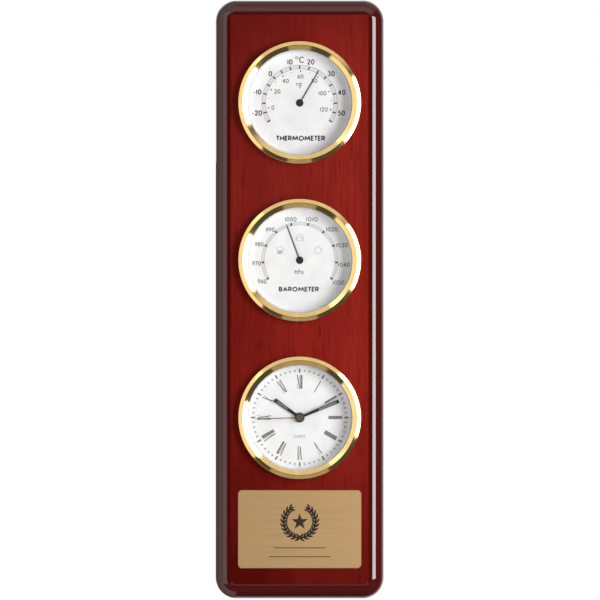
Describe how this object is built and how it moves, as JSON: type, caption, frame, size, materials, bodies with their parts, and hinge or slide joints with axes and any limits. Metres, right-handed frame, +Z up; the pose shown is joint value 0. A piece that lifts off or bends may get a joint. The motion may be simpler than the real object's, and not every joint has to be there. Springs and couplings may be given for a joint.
{
  "type": "wall weather station with clock",
  "caption": "Upright lacquered rosewood wall plaque with gold-rimmed thermometer, barometer and quartz clock inserts above a brass plate; pointers, hands, gears and setting knob turn.",
  "frame": {"origin": "hanging point on the back plane: the seat of the wall screw's shank at the top of the keyhole slot", "axes": "+Z up, +X to the right seen from the front, +Y into the wall, so the dials face -Y"},
  "size_m": [0.1016, 0.0241, 0.362],
  "materials": {
    "rosewood": "polished lacquered rosewood veneer",
    "gold_bezel": "polished gold plate",
    "glass": "clear polished glass",
    "white_plastic": "matt white",
    "dial_white": "matt white paint with printed scale",
    "black_plastic": "moulded black plastic",
    "rubber": "black rubber",
    "engraving_brass": "fine brushed brass",
    "brass": "bright brass",
    "steel": "plain bright steel",
    "dark_hands": "dark grey paint",
    "gold_hand": "dull gold",
    "copper_wire": "enamelled copper wire",
    "circuit_green": "green solder mask"
  },
  "bodies": {
    "plaque": {"board": "rosewood", "keyhole_hanger": "steel", "hanger_screws": "steel", "engraving_plate": "engraving_brass", "movement_screws": "steel", "thermometer_bezel": "gold_bezel", "thermometer_lens": "glass", "thermometer_dial_ring": "white_plastic", "thermometer_dial": "dial_white", "thermometer_gasket": "rubber", "thermometer_case": "black_plastic", "barometer_bezel": "gold_bezel", "barometer_lens": "glass", "barometer_dial_ring": "white_plastic", "barometer_dial": "dial_white", "barometer_gasket": "rubber", "barometer_case": "black_plastic", "clock_bezel": "gold_bezel", "clock_lens": "glass", "clock_dial_ring": "white_plastic", "clock_dial": "dial_white", "clock_gasket": "rubber", "clock_case": "black_plastic", "thermometer_plate": "brass", "thermometer_bush": "brass", "bimetal_coil": "steel", "barometer_plate": "brass", "barometer_bridge": "brass", "barometer_base": "brass", "aneroid_capsule": "brass", "hairspring": "steel", "movement_front_plate": "black_plastic", "movement_back_plate": "black_plastic", "stator": "steel", "coil_bobbin": "black_plastic", "coil_winding": "copper_wire", "circuit_board": "circuit_green", "quartz_crystal": "steel", "battery": "steel", "battery_contacts": "steel"},
    "thermometer_pointer": {"thermometer_needle": "dark_hands", "thermometer_staff": "steel"},
    "barometer_pointer": {"barometer_needle": "dark_hands", "pinion_arbor": "steel"},
    "sector": {"toothed_sector": "brass"},
    "rocker": {"rocking_shaft": "steel"},
    "adjuster": {"adjusting_screw": "steel"},
    "seconds": {"second_hand": "gold_hand", "second_wheel": "brass"},
    "third": {"third_wheel": "brass"},
    "centre": {"centre_wheel": "brass"},
    "step": {"step_wheel": "brass"},
    "motor_rotor": {"rotor": "steel"},
    "minutes": {"minute_hand": "dark_hands", "cannon_pinion": "brass"},
    "hours": {"hour_hand": "dark_hands", "hour_wheel": "brass"},
    "setting": {"minute_wheel": "brass", "setting_knob": "black_plastic"},
    "door": {"battery_door": "black_plastic"}
  },
  "joints": [
    {"name": "thermometer_pointer_turn", "type": "hinge", "parent": "plaque", "child": "thermometer_pointer", "pos_m": [0, -0.019, -0.0513], "axis": [0, 1, 0], "range_deg": [-151.1, 90.1], "stiffness_Nm_per_rad": 0.0002, "deforming": ["bimetal_coil"]},
    {"name": "barometer_pointer_turn", "type": "hinge", "parent": "plaque", "child": "barometer_pointer", "pos_m": [0, -0.019, -0.14636], "axis": [0, 1, 0], "range_deg": [-99.6, 140.4], "stiffness_Nm_per_rad": 0.0002, "deforming": ["hairspring", "aneroid_capsule"]},
    {"name": "sector_turn", "type": "hinge", "parent": "plaque", "child": "sector", "pos_m": [0.0104, -0.019, -0.15066], "axis": [0, 1, 0], "range_deg": [-18, 13]},
    {"name": "rocker_turn", "type": "hinge", "parent": "plaque", "child": "rocker", "pos_m": [0, -0.0087, -0.15036], "axis": [1, 0, 0], "range_deg": [-10.3, 7.4], "deforming": ["aneroid_capsule"]},
    {"name": "adjuster_turn", "type": "hinge", "parent": "plaque", "child": "adjuster", "pos_m": [0, -0.019, -0.14636], "axis": [0, 1, 0], "continuous": true},
    {"name": "second_hand_turn", "type": "hinge", "parent": "plaque", "child": "seconds", "pos_m": [0, -0.019, -0.24142], "axis": [0, 1, 0], "continuous": true},
    {"name": "third_wheel_turn", "type": "hinge", "parent": "plaque", "child": "third", "pos_m": [-0.00589, -0.019, -0.23802], "axis": [0, 1, 0], "continuous": true},
    {"name": "centre_wheel_turn", "type": "hinge", "parent": "plaque", "child": "centre", "pos_m": [0, -0.019, -0.24142], "axis": [0, 1, 0], "continuous": true},
    {"name": "step_wheel_turn", "type": "hinge", "parent": "plaque", "child": "step", "pos_m": [0.0028, -0.019, -0.23657], "axis": [0, 1, 0], "continuous": true},
    {"name": "rotor_turn", "type": "hinge", "parent": "plaque", "child": "motor_rotor", "pos_m": [0.0052, -0.019, -0.23241], "axis": [0, 1, 0], "continuous": true},
    {"name": "minute_hand_turn", "type": "hinge", "parent": "plaque", "child": "minutes", "pos_m": [0, -0.019, -0.24142], "axis": [0, 1, 0], "continuous": true},
    {"name": "hour_hand_turn", "type": "hinge", "parent": "plaque", "child": "hours", "pos_m": [0, -0.019, -0.24142], "axis": [0, 1, 0], "continuous": true},
    {"name": "setting_knob_turn", "type": "hinge", "parent": "plaque", "child": "setting", "pos_m": [0.0036, -0.019, -0.24765], "axis": [0, 1, 0], "continuous": true},
    {"name": "battery_door_lift", "type": "slide", "parent": "plaque", "child": "door", "axis": [0, 1, 0], "range_m": [0, 0.015]}
  ],
  "couplings": [
    {"joint": "sector_turn", "follows": "barometer_pointer_turn", "ratio": -0.125},
    {"joint": "rocker_turn", "follows": "barometer_pointer_turn", "ratio": -0.071121},
    {"joint": "third_wheel_turn", "follows": "second_hand_turn", "ratio": -0.13333},
    {"joint": "centre_wheel_turn", "follows": "second_hand_turn", "ratio": 0.016667},
    {"joint": "step_wheel_turn", "follows": "second_hand_turn", "ratio": -6},
    {"joint": "rotor_turn", "follows": "second_hand_turn", "ratio": 30},
    {"joint": "setting_knob_turn", "follows": "minute_hand_turn", "ratio": -0.33333},
    {"joint": "hour_hand_turn", "follows": "minute_hand_turn", "ratio": 0.083333}
  ]
}
